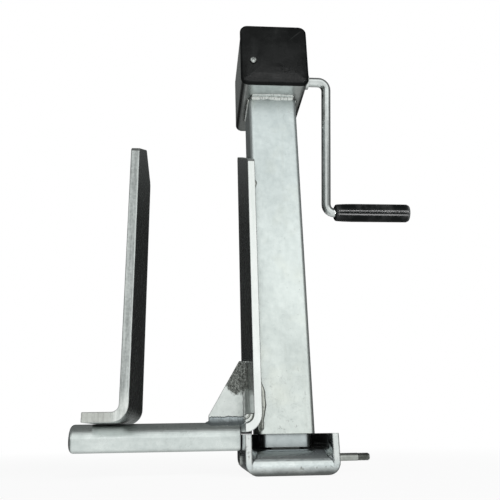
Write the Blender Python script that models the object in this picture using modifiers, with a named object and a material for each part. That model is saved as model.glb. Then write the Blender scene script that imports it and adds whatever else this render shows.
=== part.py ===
"""Trailer tongue jack: square-tube screw jack with a side crank, a bevel gearbox,
a pressed foot and a side cradle of two bent bracket plates on a round bar.

Working frame, mm: X to the crank side, Y to the back, Z up. The lifting tube's axis
is at x = y = 0 and the ground under the foot is z = 0.
The finished object is shifted so that its origin is the point ORIGIN, on the +X face
of the left bracket.
"""

import math

import bmesh
import bpy
from mathutils import Matrix, Vector

MM = 0.001

# ---------------------------------------------------------------- driving sizes, mm
GAP = 0.3  # between neighbouring pieces

# lifting tube and the leg sliding in it: width, wall, outer corner radius, ends
TUBE_W, TUBE_T, TUBE_R = 60.0, 3.0, 5.0
TUBE_Z0, TUBE_Z1 = 38.8, 444.3
TUBE_BORE = TUBE_W - 2 * TUBE_T
LEG_W, LEG_T, LEG_R = 50.0, 3.0, 5.0
LEG_Z0, LEG_Z1 = 25.4, 376.0
LEG_BORE = LEG_W - 2 * LEG_T
SLIDE_FIT = 0.7  # across the width, between a filler piece and its tube

# gearbox housing, its rear plate and its front cap
HOUSE_W, HOUSE_H, HOUSE_T, HOUSE_R = 82.0, 86.0, 4.0, 8.5
HOUSE_Z0 = TUBE_Z1 + GAP
HOUSE_ZC = HOUSE_Z0 + HOUSE_H / 2
HOUSE_Y0, HOUSE_Y1 = -55.4, 49.4
HOUSE_STEPS = 7
REAR_T = 4.0
CAP_W, CAP_H, CAP_R = 84.4, 86.8, 9.5
CAP_Y0, CAP_Y1 = -60.0, HOUSE_Y0 - GAP

# drive shaft, crank and grip
SHAFT_Z = 490.2
SHAFT_R = 6.0
ROD_R = 6.2
SOCKET_X1, SOCKET_DEPTH = 54.0, 9.0
CRANK_X = 78.8
CRANK_THROW = 177.0
CRANK_SWING = 16.5  # degrees
CRANK_BEND = 11.0
GRIP_X0, GRIP_X1, GRIP_R = 90.4, 190.1, 12.2

# bevel gears and lead screw
PINION_TEETH, GEAR_TEETH = 12, 18
PINION_PITCH_R, GEAR_PITCH_R = 14.0, 21.0
FACE_SHARE = 0.32  # face width as a share of the cone
HUB_L = 10.8
SCREW_R, JOURNAL_R = 9.6, 8.0
SCREW_Z0 = 95.0

# cradle bar
BAR_R = 14.5
BAR_Y, BAR_Z = -7.5, 36.9
BAR_X0, BAR_X1 = -226.0, -47.6
BAR_ROLL = 4.0  # edge radius of the far end

# cradle brackets; rises are heights above a bracket's lowest edge
PLATE_Y0, PLATE_Y1 = -75.0, 70.0
PLATE_YC = (PLATE_Y0 + PLATE_Y1) / 2
SHOULDER_RISE, LEFT_RIDGE, LEFT_BACK, RIGHT_BACK = 293.5, 332.5, 316.0, 369.0
RIGHT_X, RIGHT_T, RIGHT_BEND, RIGHT_Z0 = -30.3, 8.0, 16.8, 41.0
LEFT_X, LEFT_T, LEFT_BEND = -159.0, 9.6, 16.6
ABOVE_BAR = BAR_Z + BAR_R + GAP

# foot and its cross bolt
FOOT_W, FOOT_Y0, FOOT_Y1 = 93.0, -62.0, 50.0
FOOT_H, FOOT_WALL, FOOT_R = 38.8, 6.5, 12.5
FOOT_FLOOR = 23.6
FOOT_HALF = FOOT_W / 2
FOOT_L = FOOT_Y1 - FOOT_Y0
FOOT_YC = (FOOT_Y0 + FOOT_Y1) / 2
BOLT_Z, BOLT_R = 14.0, 4.0
BOLT_X0, BOLT_X1 = -48.6, 93.5

ORIGIN = (LEFT_X, PLATE_YC, 200.0)


# ---------------------------------------------------------------- finishes
def finish(colour, roughness, metallic=1.0):
    return {"colour": colour, "roughness": roughness, "metallic": metallic}


ZINC_COLOUR = (0.62, 0.65, 0.64)
DARK_COLOUR = (0.42, 0.44, 0.44)
BLACK_COLOUR = (0.018, 0.02, 0.02)

ZINC = finish(ZINC_COLOUR, roughness=0.35)
ZINC_FASTENER = finish(ZINC_COLOUR, roughness=0.3)
ZINC_BRIGHT = finish(ZINC_COLOUR, roughness=0.25)
DARK = finish(DARK_COLOUR, roughness=0.4)
DARK_SMOOTH = finish(DARK_COLOUR, roughness=0.35)
DARK_BRIGHT = finish(DARK_COLOUR, roughness=0.3)
BEARING_BRONZE = finish((0.55, 0.42, 0.2), roughness=0.35)
NUT_BRONZE = finish((0.5, 0.4, 0.2), roughness=0.4)
BLACK_MATT = finish(BLACK_COLOUR, roughness=0.5, metallic=0.0)
BLACK_GRIP = finish(BLACK_COLOUR, roughness=0.45, metallic=0.0)
BLACK_CAP = finish(BLACK_COLOUR, roughness=0.42, metallic=0.0)


def material(name, colour, roughness, metallic):
    made = bpy.data.materials.new(name)
    made.use_nodes = True
    node = made.node_tree.nodes["Principled BSDF"]
    node.inputs["Base Color"].default_value = (*colour, 1)
    node.inputs["Roughness"].default_value = roughness
    node.inputs["Metallic"].default_value = metallic
    made.diffuse_color = (*colour, 1)
    return made


# ---------------------------------------------------------------- scene and axes
for old in list(bpy.data.objects):
    bpy.data.objects.remove(old, do_unlink=True)

parts = bpy.data.collections.new("trailer_tongue_jack")
cutters = bpy.data.collections.new("cutters")
for collection in (parts, cutters):
    bpy.context.scene.collection.children.link(collection)


def attach(obj, at, parent):
    """Parents an object and sets it at a point of the working frame."""
    obj.parent = parent
    obj.location = (Vector(at) - Vector(parent["at"])) * MM


def empty(name, at, display_size=0.02):
    """An empty that remembers its point of the working frame for its children."""
    made = bpy.data.objects.new(name, None)
    made.empty_display_size = display_size
    made["at"] = [float(value) for value in at]
    parts.objects.link(made)
    return made


def pivot(name, at, parent):
    made = empty(name, at)
    attach(made, at, parent)
    return made


origin = empty("jack_origin", (0, 0, 0), display_size=0.05)
origin.location = -Vector(ORIGIN) * MM
crank_axis = pivot("crank_axis", (0, 0, SHAFT_Z), origin)
crank_axis.rotation_euler = (math.radians(CRANK_SWING), 0, 0)
grip_axis = pivot("grip_axis", (0, 0, SHAFT_Z - CRANK_THROW), crank_axis)
screw_axis = pivot("screw_axis", (0, 0, SHAFT_Z), origin)
leg_axis = pivot("leg_axis", (0, 0, LEG_Z1), origin)
foot_axis = pivot("foot_axis", (0, 0, BOLT_Z), leg_axis)


# ---------------------------------------------------------------- outlines, mm
def ellipse_arc(x, y, radius_x, radius_y, start, end, steps):
    """Points of an ellipse about (x, y), between two angles in degrees."""
    angles = [math.radians(start + (end - start) * i / steps) for i in range(steps + 1)]
    return [(x + radius_x * math.cos(a), y + radius_y * math.sin(a)) for a in angles]


def arc(x, y, radius, start, end, steps):
    return ellipse_arc(x, y, radius, radius, start, end, steps)


def round_rect(width, height, radius, steps=6):
    x, y = width / 2 - radius, height / 2 - radius
    return (
        arc(x, y, radius, 0, 90, steps)
        + arc(-x, y, radius, 90, 180, steps)
        + arc(-x, -y, radius, 180, 270, steps)
        + arc(x, -y, radius, 270, 360, steps)
    )


def hollow_rect(width, height, radius, wall, steps=6):
    return [
        round_rect(width, height, radius, steps),
        round_rect(width - 2 * wall, height - 2 * wall, radius - wall, steps),
    ]


# ---------------------------------------------------------------- meshes
AXIS_TURN = {
    "X": Matrix.Rotation(math.radians(90), 3, "Y"),
    "Y": Matrix.Rotation(math.radians(-90), 3, "X"),
    "Z": Matrix.Identity(3),
}
# from an outline in XY, thick along Z, to the named plane
PLANE_TURN = {
    "XY": Matrix.Identity(3),
    "XZ": Matrix(((1, 0, 0), (0, 0, -1), (0, 1, 0))),
    "YZ": Matrix(((0, 0, 1), (1, 0, 0), (0, 1, 0))),
}
WELD = 0.00002  # m


def smooth(mesh, angle=32):
    mesh.shade_smooth()
    mesh.set_sharp_from_angle(angle=math.radians(angle))


def to_mesh(shape, name):
    """Turns a bmesh into a mesh and frees it."""
    mesh = bpy.data.meshes.new(name)
    shape.to_mesh(mesh)
    shape.free()
    return mesh


def evaluated_mesh(helper, turn=None):
    """The helper's final mesh with its caps welded; the helper is removed."""
    bpy.context.view_layer.update()
    graph = bpy.context.evaluated_depsgraph_get()
    mesh = bpy.data.meshes.new_from_object(helper.evaluated_get(graph))
    shape = bmesh.new()
    shape.from_mesh(mesh)
    bmesh.ops.remove_doubles(shape, verts=shape.verts, dist=WELD)
    bmesh.ops.recalc_face_normals(shape, faces=shape.faces)
    if turn is not None:
        bmesh.ops.rotate(shape, cent=(0, 0, 0), matrix=turn, verts=shape.verts)
    shape.to_mesh(mesh)
    shape.free()
    bpy.data.objects.remove(helper, do_unlink=True)
    return mesh


def helper_object(name, data):
    made = bpy.data.objects.new(name, data)
    cutters.objects.link(made)
    return made


# ---------------------------------------------------------------- pieces
def place(name, mesh, at, parent=origin, turn=(0, 0, 0), look=ZINC):
    """A piece whose own origin sits at a point of the working frame, turned in degrees."""
    mesh.name = name
    if look is not None:
        mesh.materials.clear()
        mesh.materials.append(material(name, **look))
    made = bpy.data.objects.new(name, mesh)
    parts.objects.link(made)
    attach(made, at, parent)
    made.rotation_euler = [math.radians(angle) for angle in turn]
    return made


def box(name, size, at, **more):
    shape = bmesh.new()
    bmesh.ops.create_cube(shape, size=1.0)
    bmesh.ops.scale(shape, vec=[side * MM for side in size], verts=shape.verts)
    return place(name, to_mesh(shape, name), at, **more)


def rod(name, radius, length, at, axis="Z", segments=40, **more):
    """A cylinder centred on its origin."""
    shape = bmesh.new()
    bmesh.ops.create_cone(
        shape,
        cap_ends=True,
        segments=segments,
        radius1=radius * MM,
        radius2=radius * MM,
        depth=length * MM,
    )
    bmesh.ops.rotate(shape, cent=(0, 0, 0), matrix=AXIS_TURN[axis], verts=shape.verts)
    mesh = to_mesh(shape, name)
    smooth(mesh)
    return place(name, mesh, at, **more)


def slab(name, outlines, thickness, at, plane="XY", **more):
    """A flat piece, thick about its plane: the first outline is its edge, any others are holes."""
    curve = bpy.data.curves.new("outline", "CURVE")
    curve.dimensions = "2D"
    curve.fill_mode = "BOTH"
    curve.extrude = thickness / 2 * MM
    for outline in outlines:
        spline = curve.splines.new("POLY")
        spline.points.add(len(outline) - 1)
        for point, (x, y) in zip(spline.points, outline):
            point.co = (x * MM, y * MM, 0, 1)
        spline.use_cyclic_u = True
    mesh = evaluated_mesh(helper_object("outline", curve), PLANE_TURN[plane])
    smooth(mesh)
    return place(name, mesh, at, **more)


def turned(name, profile, at, axis="Z", segments=40, **more):
    """A turned piece from (radius, height along the axis) points.

    A profile that starts and ends off the axis is closed into a ring."""
    mesh = bpy.data.meshes.new(name)
    points = [(radius * MM, 0.0, height * MM) for radius, height in profile]
    edges = [(i, i + 1) for i in range(len(points) - 1)]
    if profile[0][0] > 0 and profile[-1][0] > 0:
        edges.append((len(points) - 1, 0))
    mesh.from_pydata(points, edges, [])
    helper = helper_object(name + "_profile", mesh)
    screw = helper.modifiers.new("turn", "SCREW")
    screw.axis = "Z"
    screw.steps = screw.render_steps = segments
    screw.use_merge_vertices = True
    screw.merge_threshold = 0.00001
    screw.use_normal_calculate = True
    made = evaluated_mesh(helper, AXIS_TURN[axis])
    smooth(made)
    return place(name, made, at, **more)


def ring(name, bore, radius, top, low, at, **more):
    """A plain turned ring between two heights."""
    turned(name, [(bore, top), (radius, top), (radius, low), (bore, low)], at, **more)


def boolean(target, other, operation="DIFFERENCE"):
    """Cuts, joins or intersects with the other object, which becomes a hidden helper."""
    for held in list(other.users_collection):
        held.objects.unlink(other)
    cutters.objects.link(other)
    other.hide_render = True
    other.display_type = "WIRE"
    made = target.modifiers.new(operation.lower(), "BOOLEAN")
    made.operation = operation
    made.solver = "EXACT"
    made.object = other


def drill(target, name, radius, length, at, axis="Z", segments=40):
    boolean(target, rod(name, radius, length, at, axis, segments, parent=target.parent))


def bevel(target, width, angle):
    made = target.modifiers.new("edges", "BEVEL")
    made.width = width * MM
    made.segments = 2
    made.limit_method = "ANGLE"
    made.angle_limit = math.radians(angle)


# ---------------------------------------------------------------- lifting tube
def square_tube(name, width, wall, radius, z0, z1, parent):
    outlines = hollow_rect(width, width, radius, wall)
    slab(name, outlines, z1 - z0, (0, 0, (z0 + z1) / 2), parent=parent)


def guide(name, height, z, parent):
    """A square ring between the tube's bore and the leg."""
    outer, bore = TUBE_BORE - SLIDE_FIT, LEG_W + SLIDE_FIT
    outlines = [round_rect(outer, outer, 1.8), round_rect(bore, bore, LEG_R + 0.2)]
    slab(name, outlines, height, (0, 0, z), parent=parent, look=BLACK_MATT)


square_tube("outer_tube", TUBE_W, TUBE_T, TUBE_R, TUBE_Z0, TUBE_Z1, origin)
guide("lower_guide", 14.0, TUBE_Z0 + 10.5, origin)

BEARING_T = 10.0
BEARING_TOP = TUBE_Z1 - 2.7
BEARING_LOW = BEARING_TOP - BEARING_T
bearing_at = (0, 0, BEARING_LOW + BEARING_T / 2)
bearing_w = TUBE_BORE - 0.8
bearing_plate = slab(
    "bearing_plate", [round_rect(bearing_w, bearing_w, 1.6)], BEARING_T, bearing_at, look=DARK
)
drill(bearing_plate, "bearing_plate_bore", JOURNAL_R + 0.3, 30, bearing_at)

# ---------------------------------------------------------------- gearbox housing
housing = slab(
    "gearbox_housing",
    hollow_rect(HOUSE_W, HOUSE_H, HOUSE_R, HOUSE_T, HOUSE_STEPS),
    HOUSE_Y1 - HOUSE_Y0,
    (0, (HOUSE_Y0 + HOUSE_Y1) / 2, HOUSE_ZC),
    plane="XZ",
)
drill(housing, "housing_screw_hole", 14.5, 20, (0, 0, HOUSE_Z0 + 2))
drill(housing, "housing_shaft_hole", 9.6, 20, (HOUSE_W / 2 - 2, 0, SHAFT_Z), "X")

slab(
    "rear_plate",
    [round_rect(HOUSE_W - 0.6, HOUSE_H - 0.6, HOUSE_R - 0.3, HOUSE_STEPS)],
    REAR_T,
    (0, HOUSE_Y1 + GAP + REAR_T / 2, HOUSE_ZC),
    plane="XZ",
)

# ---------------------------------------------------------------- end cap
CAP_SCREW_X, CAP_SCREW_Z = -26.5, 477.3


def cap_sections():
    """(inset, y) from the cap's back to its front: a rolled edge and a slightly crowned face."""
    thickness = CAP_Y1 - CAP_Y0
    sections = [(0.5, thickness), (0.0, thickness - 0.5), (0.0, thickness - 1.0)]
    for i in range(1, 7):
        angle = math.radians(15 * i)
        inset = 3.4 * (1 - math.cos(angle))
        sections.append((inset, thickness - 1.0 - 2.6 * math.sin(angle)))
    return sections + [(8.0, 0.38), (16.0, 0.12), (25.0, 0.0)]


def cap_mesh():
    """A solid through rounded rectangles in XZ, ends filled flat."""
    shape = bmesh.new()
    rings = []
    for inset, y in cap_sections():
        radius = max(1.2, CAP_R - 0.75 * inset)
        outline = round_rect(CAP_W - 2 * inset, CAP_H - 2 * inset, radius, HOUSE_STEPS)
        rings.append([shape.verts.new((x * MM, y * MM, z * MM)) for x, z in outline])
    count = len(rings[0])
    for near, far in zip(rings, rings[1:]):
        for i in range(count):
            j = (i + 1) % count
            shape.faces.new((near[i], near[j], far[j], far[i]))
    shape.faces.new(rings[0])
    shape.faces.new(rings[-1])
    bmesh.ops.recalc_face_normals(shape, faces=shape.faces)
    mesh = to_mesh(shape, "end_cap")
    smooth(mesh, 50)
    return mesh


def end_cap():
    cap = place("end_cap", cap_mesh(), (0, CAP_Y0, HOUSE_ZC), look=BLACK_CAP)
    outer, inner = 8.8, 13.8  # how much narrower than the housing
    length, overlap = 11.0, 0.6
    skirt = slab(
        "end_cap_skirt",
        [
            round_rect(HOUSE_W - outer, HOUSE_H - outer, 4.2, 5),
            round_rect(HOUSE_W - inner, HOUSE_H - inner, 2.2, 5),
        ],
        length,
        (0, CAP_Y1 - overlap + length / 2, HOUSE_ZC),
        plane="XZ",
        look=None,
    )
    boolean(cap, skirt, "UNION")
    drill(cap, "end_cap_hole", 2.4, 30, (CAP_SCREW_X, CAP_Y0, CAP_SCREW_Z), "Y", 20)


def cap_screw():
    """A domed screw with a cross recess, its head to the front."""
    profile = [
        (0, 2.5), (1.6, 2.42), (2.9, 2.1), (3.8, 1.5), (4.2, 0.7), (4.2, 0.0),
        (2.0, 0.0), (2.0, -18.0), (1.2, -19.5), (0, -19.5),
    ]
    screw = turned(
        "cap_screw",
        profile,
        (CAP_SCREW_X, CAP_Y0 - GAP, CAP_SCREW_Z),
        segments=28,
        turn=(90, 0, 0),
        look=ZINC_FASTENER,
    )
    slot_at = (CAP_SCREW_X, CAP_Y0 - 2.8, CAP_SCREW_Z)
    for angle in (0, 90):
        slot = box(f"cap_screw_slot_{angle}", (5.0, 2.2, 1.05), slot_at, turn=(0, angle + 45, 0))
        boolean(screw, slot)


def cap_screw_lug():
    """An L-shaped lug inside the housing, which takes the cap screw."""
    y = CAP_Y1 + 12.6
    outline = [(-36.7, 0), (-19.5, 0), (-19.5, 3), (-33.7, 3), (-33.7, 14), (-36.7, 14)]
    lug = slab("cap_screw_lug", [outline], 14.0, (0, y, CAP_SCREW_Z), look=DARK)
    drill(lug, "cap_screw_lug_hole", 2.25, 12, (CAP_SCREW_X, y + 1.5, CAP_SCREW_Z), "Y", 20)


end_cap()
cap_screw()
cap_screw_lug()

# ---------------------------------------------------------------- shaft bearings
SHAFT_AT = (0, 0, SHAFT_Z)
WALL_IN = HOUSE_W / 2 - HOUSE_T
SHAFT_BORE_R = SHAFT_R + 0.12

turned(
    "right_bush",
    [
        (SHAFT_BORE_R, WALL_IN + 4.6), (9.3, WALL_IN + 4.6), (9.3, WALL_IN - GAP),
        (12.5, WALL_IN - GAP), (12.5, WALL_IN - 2.6), (SHAFT_BORE_R, WALL_IN - 2.6),
    ],
    SHAFT_AT,
    axis="X",
    look=BEARING_BRONZE,
)
turned(
    "left_bearing_cup",
    [
        (0, WALL_IN - GAP), (11.0, WALL_IN - GAP), (11.0, WALL_IN - 11.0),
        (SHAFT_BORE_R, WALL_IN - 11.0), (SHAFT_BORE_R, WALL_IN - 3.0), (0, WALL_IN - 3.0),
    ],
    SHAFT_AT,
    axis="X",
    turn=(0, 180, 0),
    look=BEARING_BRONZE,
)

# ---------------------------------------------------------------- crank shaft and crank
SOCKET_X0 = SOCKET_X1 - SOCKET_DEPTH
SOCKET_BORE_R = ROD_R + 0.15
SHAFT_X0 = -33.6

drive_shaft = turned(
    "drive_shaft",
    [
        (0, SOCKET_X0), (SOCKET_BORE_R, SOCKET_X0), (SOCKET_BORE_R, SOCKET_X1),
        (9.6, SOCKET_X1), (9.6, 43.2), (SHAFT_R, 43.2),
        (SHAFT_R, SHAFT_X0 + 1.0), (SHAFT_R - 1.0, SHAFT_X0), (0, SHAFT_X0),
    ],
    SHAFT_AT,
    axis="X",
    parent=crank_axis,
    look=DARK_BRIGHT,
)


def crank_rod_mesh():
    """The crank: out of the gearbox, down its throw, and out again under the grip."""
    low, bend = -CRANK_THROW, CRANK_BEND
    path = (
        [(SOCKET_X0 + GAP, 0.0)]
        + arc(CRANK_X - bend, -bend, bend, 90, 0, 7)
        + arc(CRANK_X + bend, low + bend, bend, 180, 270, 7)
        + [(GRIP_X1 - 6.5, low)]
    )
    curve = bpy.data.curves.new("crank_path", "CURVE")
    curve.dimensions = "3D"
    curve.bevel_depth = ROD_R * MM
    curve.bevel_resolution = 6
    curve.use_fill_caps = True
    spline = curve.splines.new("POLY")
    spline.points.add(len(path) - 1)
    for point, (x, z) in zip(spline.points, path):
        point.co = (x * MM, 0, z * MM, 1)
    mesh = evaluated_mesh(helper_object("crank_path", curve))
    smooth(mesh, 50)
    return mesh


crank_rod = place("crank_rod", crank_rod_mesh(), SHAFT_AT, crank_axis, look=ZINC_BRIGHT)
crank_pin_at = (SOCKET_X1 - SOCKET_DEPTH / 2, 0, SHAFT_Z)
for target in (crank_rod, drive_shaft):
    drill(target, f"{target.name}_pin_hole", 2.25, 40, crank_pin_at, "Y", 20)
rod("crank_pin", 2.0, 19.0, crank_pin_at, "Y", 20, parent=crank_axis, look=DARK_SMOOTH)

# grip pieces: heights run along X from the grip's inboard end
GRIP_L = GRIP_X1 - GRIP_X0
GRIP_AT = (GRIP_X0, 0, SHAFT_Z - CRANK_THROW)
turned(
    "crank_grip",
    [
        (9.4, GRIP_L), (11.2, GRIP_L), (12.0, GRIP_L - 1.2), (GRIP_R, GRIP_L - 3.0),
        (GRIP_R, 24.0), (11.9, 12.0), (11.4, 3.2), (10.9, 1.2), (9.6, 0.2), (8.4, 0.0),
        (ROD_R + 0.25, 0.0), (ROD_R + 0.25, GRIP_L - 9.6), (9.4, GRIP_L - 9.6),
    ],
    GRIP_AT,
    axis="X",
    parent=grip_axis,
    segments=36,
    look=BLACK_GRIP,
)
turned(
    "grip_end_plug",
    [
        (0, GRIP_L + 2.3), (5.0, GRIP_L + 2.2), (9.0, GRIP_L + 1.7), (11.0, GRIP_L + 0.9),
        (11.3, GRIP_L + 0.3), (9.1, GRIP_L + 0.3), (9.1, GRIP_L - 4.2), (0, GRIP_L - 4.2),
    ],
    GRIP_AT,
    axis="X",
    parent=grip_axis,
    segments=36,
    look=BLACK_MATT,
)
ring(
    "grip_lock_washer", ROD_R + 0.15, 9.0, GRIP_L - 8.0, GRIP_L - 9.2, GRIP_AT,
    axis="X", parent=crank_axis, look=DARK_BRIGHT,
)

# ---------------------------------------------------------------- bevel gears
ADDENDUM, DEDENDUM = 0.72, 1.0  # in modules
TOOTH_SHARE = 0.40  # tooth thickness as a share of the circular pitch
FLANK_ANGLE = 22  # degrees


def bevel_outline(teeth, pitch_radius, mate_radius, phase):
    """The big end's outline: cones through the shaft crossing point cut it at the pitch plane.

    phase turns the teeth, in tooth pitches."""
    distance = math.hypot(pitch_radius, mate_radius)
    pitch_angle = math.atan2(pitch_radius, mate_radius)
    module = 2 * pitch_radius / teeth
    half_tooth = TOOTH_SHARE * math.pi * module / 2 / distance
    rows = []
    for rise in (-DEDENDUM * module, 0.0, ADDENDUM * module):
        lift = math.atan(rise / distance)
        angle = pitch_angle + lift
        half_width = half_tooth - lift * math.tan(math.radians(FLANK_ANGLE))
        rows.append((mate_radius * math.tan(angle), half_width / math.sin(angle)))
    points = []
    for i in range(teeth):
        centre = 2 * math.pi * (i + phase) / teeth
        tooth = [(radius, centre - half) for radius, half in rows]
        tooth += [(radius, centre + half) for radius, half in reversed(rows)]
        points += [(radius * math.cos(a), radius * math.sin(a)) for radius, a in tooth]
    return points


def bevel_gear_mesh(teeth, pitch_radius, mate_radius, phase):
    """The toothed cone: big end at height 0, small end above, scaled to the crossing point."""
    shape = bmesh.new()
    outline = bevel_outline(teeth, pitch_radius, mate_radius, phase)
    face = shape.faces.new([shape.verts.new((x * MM, y * MM, 0)) for x, y in outline])
    face.normal_update()
    if face.normal.z > 0:
        face.normal_flip()
    grown = bmesh.ops.extrude_face_region(shape, geom=[face])
    for item in grown["geom"]:
        if isinstance(item, bmesh.types.BMVert):
            item.co.x *= 1 - FACE_SHARE
            item.co.y *= 1 - FACE_SHARE
            item.co.z += FACE_SHARE * mate_radius * MM
    bmesh.ops.recalc_face_normals(shape, faces=shape.faces)
    return to_mesh(shape, "bevel")


# the gear faces up, with its hub below
GEAR_Z = SHAFT_Z - PINION_PITCH_R
HUB_Z0 = GEAR_Z - 10.0
GEAR_PIN_AT = (0, 0, HUB_Z0 + 4.0)
gear = place(
    "bevel_gear",
    bevel_gear_mesh(GEAR_TEETH, GEAR_PITCH_R, PINION_PITCH_R, phase=0.0),
    (0, 0, GEAR_Z),
    parent=screw_axis,
    look=DARK,
)
gear_hub = rod("bevel_gear_hub", 13.0, HUB_L, (0, 0, HUB_Z0 + HUB_L / 2), parent=screw_axis)
boolean(gear, gear_hub, "UNION")
drill(gear, "bevel_gear_bore", JOURNAL_R + 0.15, 60, (0, 0, HUB_Z0))
drill(gear, "bevel_gear_pin_hole", 2.2, 40, GEAR_PIN_AT, "Y", 20)
rod("gear_pin", 2.0, 25.0, GEAR_PIN_AT, "Y", 20, parent=screw_axis, look=DARK_SMOOTH)

# the pinion's axis is turned from Z to -X, so its small end faces the crossing point;
# the crank's swing is taken back out, so its teeth stay in mesh
PINION_AT = (GEAR_PITCH_R, 0, SHAFT_Z)
pinion = place(
    "bevel_pinion",
    bevel_gear_mesh(PINION_TEETH, PINION_PITCH_R, GEAR_PITCH_R, phase=0.5),
    PINION_AT,
    parent=crank_axis,
    look=DARK,
)
unswing = Matrix.Rotation(math.radians(-CRANK_SWING), 4, "X")
pinion.rotation_euler = (unswing @ Matrix.Rotation(math.radians(-90), 4, "Y")).to_euler()
pinion_hub = rod(
    "bevel_pinion_hub", 11.0, HUB_L, (GEAR_PITCH_R + 4.6, 0, SHAFT_Z), "X", parent=crank_axis
)
boolean(pinion, pinion_hub, "UNION")
drill(pinion, "bevel_pinion_bore", SHAFT_R + 0.15, 60, PINION_AT, "X")
pinion_pin_at = (GEAR_PITCH_R + 6.0, 0, SHAFT_Z)
for target in (pinion, drive_shaft):
    drill(target, f"{target.name}_key_hole", 1.7, 40, pinion_pin_at, "Y", 20)
rod("pinion_pin", 1.5, 21.0, pinion_pin_at, "Y", 20, parent=crank_axis, look=DARK_SMOOTH)

# ---------------------------------------------------------------- lead screw and bearing
COLLAR_TOP = BEARING_LOW - 8.5
COLLAR_LOW = COLLAR_TOP - 8.5
COLLAR_R = 14.0
SCREW_TOP = SHAFT_Z - 10.5
WASHER_T = 1.6
TUBE_AXIS = (0, 0, 0)

lead_screw = turned(
    "lead_screw",
    [
        (0, SCREW_TOP), (JOURNAL_R - 0.8, SCREW_TOP), (JOURNAL_R, SCREW_TOP - 0.8),
        (JOURNAL_R, COLLAR_TOP), (COLLAR_R, COLLAR_TOP), (COLLAR_R, COLLAR_LOW),
        (SCREW_R, COLLAR_LOW), (SCREW_R, SCREW_Z0 + 2.0), (SCREW_R - 2.0, SCREW_Z0),
        (0, SCREW_Z0),
    ],
    TUBE_AXIS,
    parent=screw_axis,
    look=DARK_SMOOTH,
)
drill(lead_screw, "lead_screw_pin_hole", 2.2, 40, GEAR_PIN_AT, "Y", 20)
ring(
    "gear_spacer", JOURNAL_R + 0.25, 12.0, HUB_Z0 - GAP, BEARING_TOP + 0.4, TUBE_AXIS,
    parent=screw_axis, look=DARK_SMOOTH,
)

UPPER_WASHER_LOW = BEARING_LOW - GAP - WASHER_T
LOWER_WASHER_TOP = COLLAR_TOP + GAP + WASHER_T
for name, top, parent in (
    ("thrust_washer_upper", BEARING_LOW - GAP, origin),
    ("thrust_washer_lower", LOWER_WASHER_TOP, screw_axis),
):
    ring(
        name, JOURNAL_R + 0.3, 17.0, top, top - WASHER_T, TUBE_AXIS,
        parent=parent, look=ZINC_BRIGHT,
    )


def ball_cage():
    """A flat ring with a circle of balls joined to it, midway between the washers."""
    count, ball_radius, circle_radius = 10, 2.0, 12.8
    at = (0, 0, (LOWER_WASHER_TOP + UPPER_WASHER_LOW) / 2)
    cage = turned(
        "thrust_ball_cage",
        [(9.6, 0.7), (16.0, 0.7), (16.0, -0.7), (9.6, -0.7)],
        at,
        parent=screw_axis,
        look=ZINC_BRIGHT,
    )
    balls = bmesh.new()
    for i in range(count):
        angle = 2 * math.pi * i / count
        x, y = circle_radius * MM * math.cos(angle), circle_radius * MM * math.sin(angle)
        bmesh.ops.create_uvsphere(
            balls,
            u_segments=10,
            v_segments=7,
            radius=ball_radius * MM,
            matrix=Matrix.Translation((x, y, 0)),
        )
    boolean(cage, place("thrust_balls", to_mesh(balls, "balls"), at, screw_axis), "UNION")


ball_cage()


# ---------------------------------------------------------------- leg
def leg_filler(name, height, z, look):
    """A square block filling the leg's bore."""
    width = LEG_BORE - SLIDE_FIT
    outline = round_rect(width, width, 1.6)
    return slab(name, [outline], height, (0, 0, z), parent=leg_axis, look=look)


square_tube("inner_leg", LEG_W, LEG_T, LEG_R, LEG_Z0, LEG_Z1, leg_axis)

NUT_Z = LEG_Z1 - 16.0
nut = leg_filler("lead_nut", 24.0, NUT_Z, NUT_BRONZE)
drill(nut, "lead_nut_bore", SCREW_R + 0.35, 60, (0, 0, NUT_Z))

guide("leg_top_guide", 26.0, LEG_Z1 - 17.0, leg_axis)

# the lug at the leg's lower end reaches down to the foot bolt
BOLT_AT = (0, 0, BOLT_Z)
BOLT_HOLE_R = BOLT_R + 0.3
TONGUE_Z0, TONGUE_Z1 = 5.0, LEG_Z0 + 5.0
leg_lug = leg_filler("leg_lug", 26.0, LEG_Z0 + 14.0, DARK)
tongue = box(
    "leg_lug_tongue",
    (30.0, 30.0, TONGUE_Z1 - TONGUE_Z0),
    (0, 0, (TONGUE_Z0 + TONGUE_Z1) / 2),
    parent=leg_axis,
)
boolean(leg_lug, tongue, "UNION")
drill(leg_lug, "leg_lug_hole", BOLT_HOLE_R, 80, BOLT_AT, "X", 32)

# ---------------------------------------------------------------- foot
# the floor rolls down at the front as a quarter ellipse
ROLL_Y, ROLL_Z = FOOT_Y0 + 22.0, 8.0
ROLL_L, ROLL_H = ROLL_Y - FOOT_Y0, FOOT_FLOOR - ROLL_Z
CORNER_X = FOOT_HALF - FOOT_R
FOOT_CUT_W = FOOT_W + 40


def foot_profile(name, outline):
    """A cutter with a side outline in (y, z), running right across the foot."""
    return slab(name, [outline], FOOT_CUT_W, (0, 0, 0), plane="YZ", parent=foot_axis)


def foot_section(name, outline, length):
    """A solid with a cross-section in (x, z), running along the foot."""
    return slab(name, [outline], length, (0, FOOT_YC, 0), plane="XZ", parent=foot_axis)


def foot_above():
    """The hollow above the floor and its front roll; it leaves side walls and a back wall."""
    above = box(
        "foot_above",
        (FOOT_W - 2 * FOOT_WALL, FOOT_L, 80),
        (0, FOOT_YC - FOOT_WALL, 40),
        parent=foot_axis,
    )
    arch = foot_profile(
        "foot_arch",
        [(FOOT_Y1 + 10.0, FOOT_FLOOR)]
        + ellipse_arc(ROLL_Y, ROLL_Z, ROLL_L, ROLL_H, 90, 180, 9)
        + [(FOOT_Y0, -10.0), (FOOT_Y1 + 10.0, -10.0)],
    )
    boolean(above, arch)
    return above


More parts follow.
